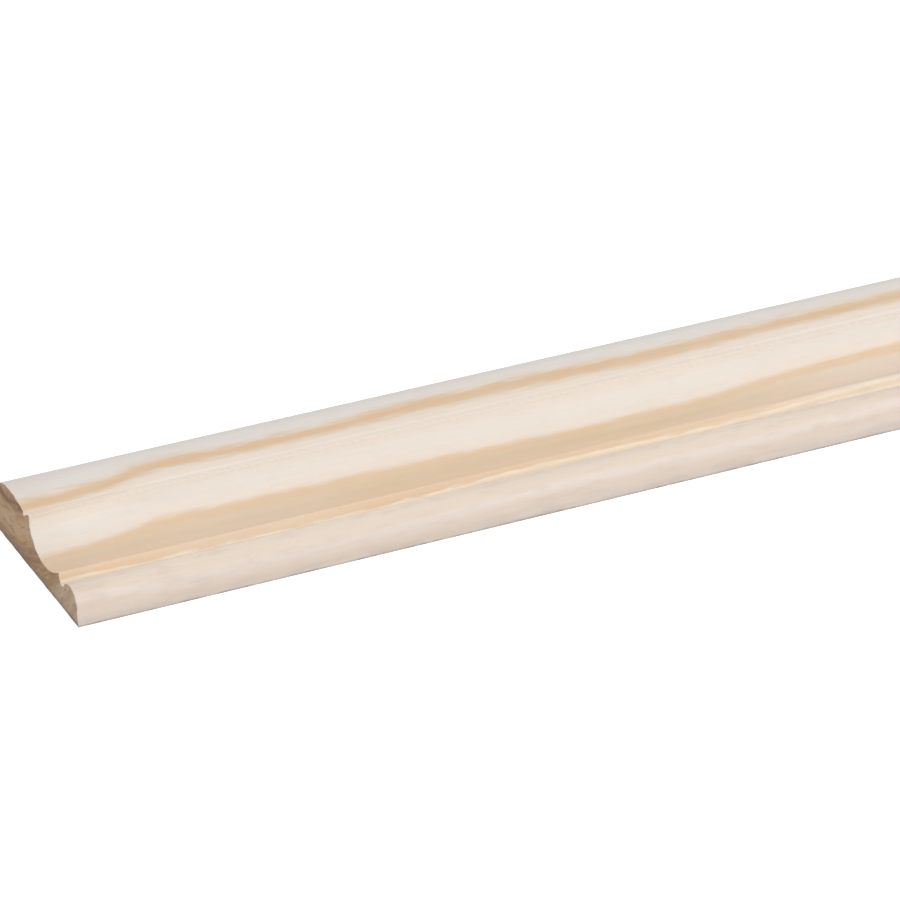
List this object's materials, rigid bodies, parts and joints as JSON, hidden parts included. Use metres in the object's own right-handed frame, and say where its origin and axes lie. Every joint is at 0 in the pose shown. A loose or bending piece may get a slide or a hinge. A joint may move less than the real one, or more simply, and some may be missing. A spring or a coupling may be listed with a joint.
{
  "type": "decorative moulding strip",
  "caption": "Straight length of raw pine moulding with a flat back and a moulded face: edge bead, quirk, lip, broad cove, lip and a broad rounded bead on the thick edge.",
  "frame": {"origin": "middle of the strip's flat back", "axes": "+X along the strip, +Y across it from the thin edge to the thick edge, +Z away from the flat back"},
  "size_m": [1, 0.045, 0.0134],
  "materials": {
    "pine": "matte"
  },
  "bodies": {
    "root": {"moulding_strip": "pine"}
  },
  "joints": []
}
